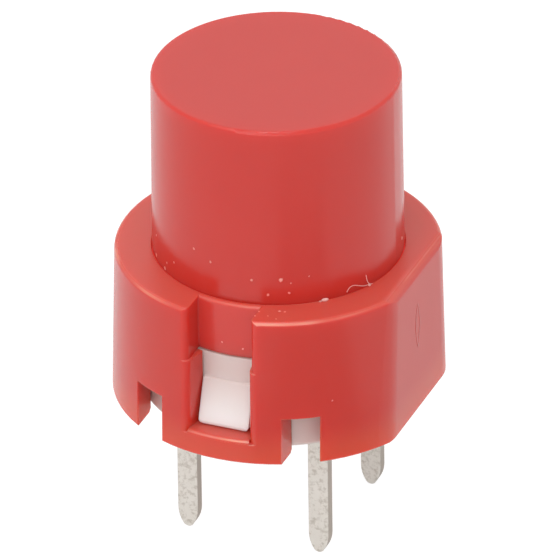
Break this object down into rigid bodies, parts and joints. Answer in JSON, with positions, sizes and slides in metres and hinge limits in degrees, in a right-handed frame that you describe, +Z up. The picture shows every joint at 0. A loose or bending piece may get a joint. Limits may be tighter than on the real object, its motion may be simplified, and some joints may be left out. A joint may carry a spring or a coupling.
{
  "type": "round mechanical key switch",
  "caption": "Round momentary key switch for a circuit board: sprung red button in a latched red housing, white base and flat solder pins.",
  "frame": {"origin": "on the button's axis, in the plane of the housing rim that sits on the circuit board", "axes": "+Z up along the button's axis, +X towards the flat on the housing, -Y towards the front latch"},
  "size_m": [0.0114, 0.012, 0.0179],
  "materials": {
    "red_housing": "moulded, satin gloss",
    "red_button": "moulded, satin gloss",
    "white_base": "moulded, satin",
    "white_pusher": "moulded, satin",
    "spring_steel": "drawn wire",
    "dome_steel": "rolled",
    "tinned_strip": "dull tin plate",
    "contact_silver": "plain silver"
  },
  "bodies": {
    "switch_body": {"housing": "red_housing", "base": "white_base", "terminal_front": "tinned_strip", "terminal_rear": "tinned_strip", "contact_centre": "contact_silver", "contact_front": "contact_silver", "contact_left": "contact_silver", "contact_right": "contact_silver", "snap_dome": "dome_steel"},
    "plunger": {"pusher": "white_pusher"},
    "key": {"button": "red_button", "return_spring": "spring_steel"}
  },
  "joints": [
    {"name": "button_press", "type": "slide", "parent": "switch_body", "child": "key", "axis": [0, 0, 1], "range_m": [-0.0009, 0], "stiffness_N_per_m": 550, "springref_m": 0.00145, "deforming": ["return_spring"]},
    {"name": "pusher_slide", "type": "slide", "parent": "switch_body", "child": "plunger", "axis": [0, 0, 1], "range_m": [-0.0003, 0], "deforming": ["snap_dome"]}
  ],
  "couplings": [
    {"joint": "pusher_slide", "follows": "button_press", "ratio": 0.3333}
  ]
}
